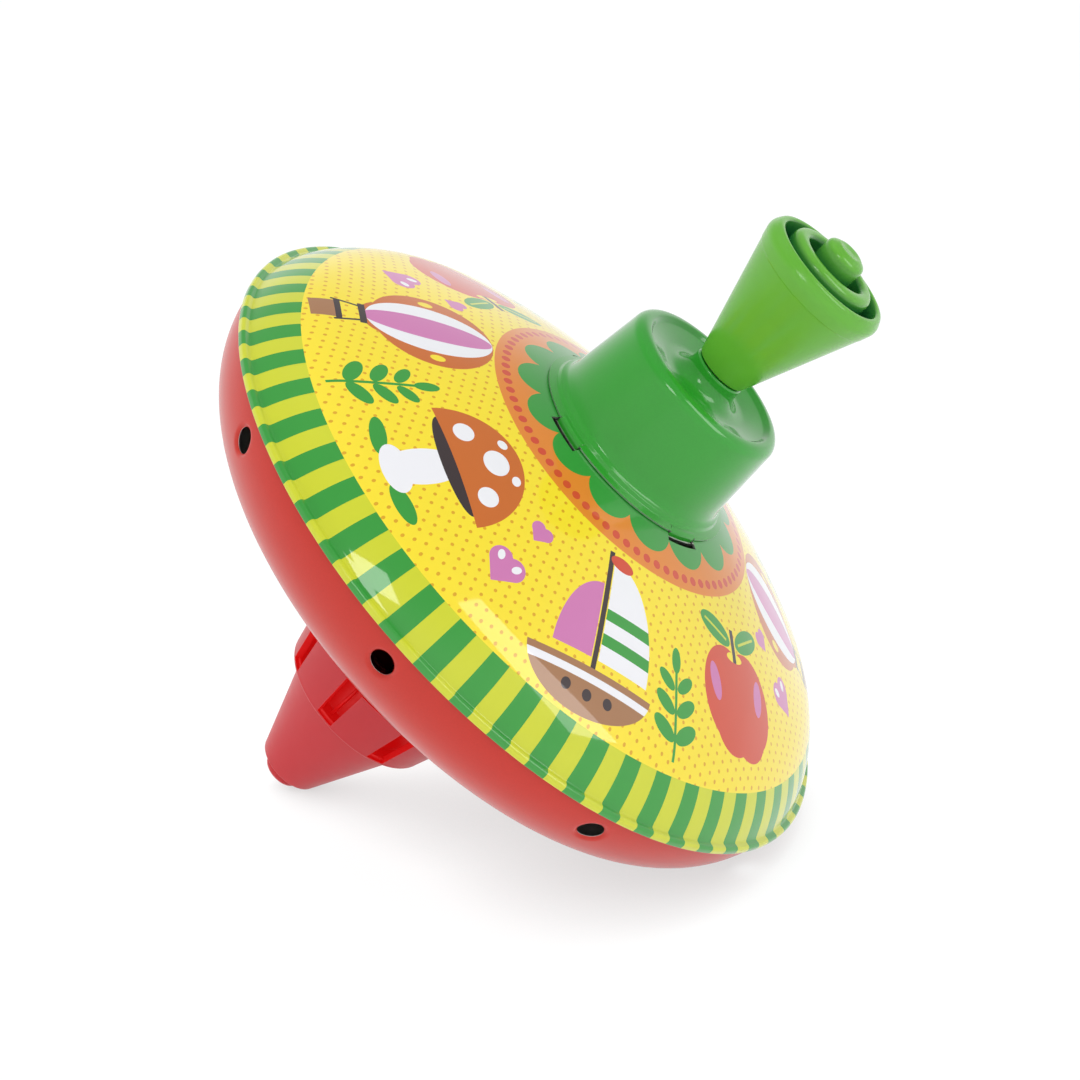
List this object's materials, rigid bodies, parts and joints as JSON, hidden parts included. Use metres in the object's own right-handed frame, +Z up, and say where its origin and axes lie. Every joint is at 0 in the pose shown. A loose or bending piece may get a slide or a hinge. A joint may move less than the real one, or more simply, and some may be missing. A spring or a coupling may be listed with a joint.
{
  "type": "spinning top",
  "caption": "Pump-action humming top: two hemmed tin shells, a drive cap with a twisted rod and knob, and a moulded foot with a spinning tip.",
  "frame": {"origin": "lowest point of the foot tip, on the spin axis", "axes": "+Z up along the spin axis, from the foot tip to the knob; +X and +Y across the shell"},
  "size_m": [0.19, 0.19, 0.2085],
  "materials": {
    "printed_tin": "yellow, orange and green print under clear gloss lacquer on tinplate",
    "red_tin": "gloss red lacquer on tinplate",
    "green_tin": "gloss green lacquer on tinplate",
    "bare_tin": "bare tinplate",
    "nylon": "natural nylon, moulded",
    "steel": "bright drawn steel",
    "fibre": "vulcanised fibre, sheet stamped",
    "green_plastic": "glossy moulded polypropylene",
    "red_plastic": "satin moulded polyethylene"
  },
  "bodies": {
    "shell": {"upper_shell": "printed_tin", "lower_shell": "red_tin", "drive_cap": "green_tin", "backing_ring": "bare_tin", "neck_bush": "nylon", "thrust_washer": "steel", "clutch_carrier": "nylon", "foot": "red_plastic", "foot_lock_ring": "steel", "foot_tip": "red_plastic"},
    "nut": {"drive_nut": "nylon"},
    "guide": {"end_washer": "fibre"},
    "plunger": {"knob": "green_plastic", "spiral_rod": "steel", "end_collar": "steel"}
  },
  "joints": [
    {"name": "freewheel", "type": "hinge", "parent": "shell", "child": "nut", "pos_m": [0, 0, 0.155], "axis": [0, 0, 1], "continuous": true},
    {"name": "pump_stroke", "type": "slide", "parent": "nut", "child": "guide", "axis": [0, 0, 1], "range_m": [0, 0.12]},
    {"name": "rod_twist", "type": "hinge", "parent": "guide", "child": "plunger", "pos_m": [0, 0, 0.1], "axis": [0, 0, 1], "range_deg": [0, 720]}
  ],
  "couplings": [
    {"joint": "rod_twist", "follows": "pump_stroke", "rad_per_m": 104.72}
  ]
}
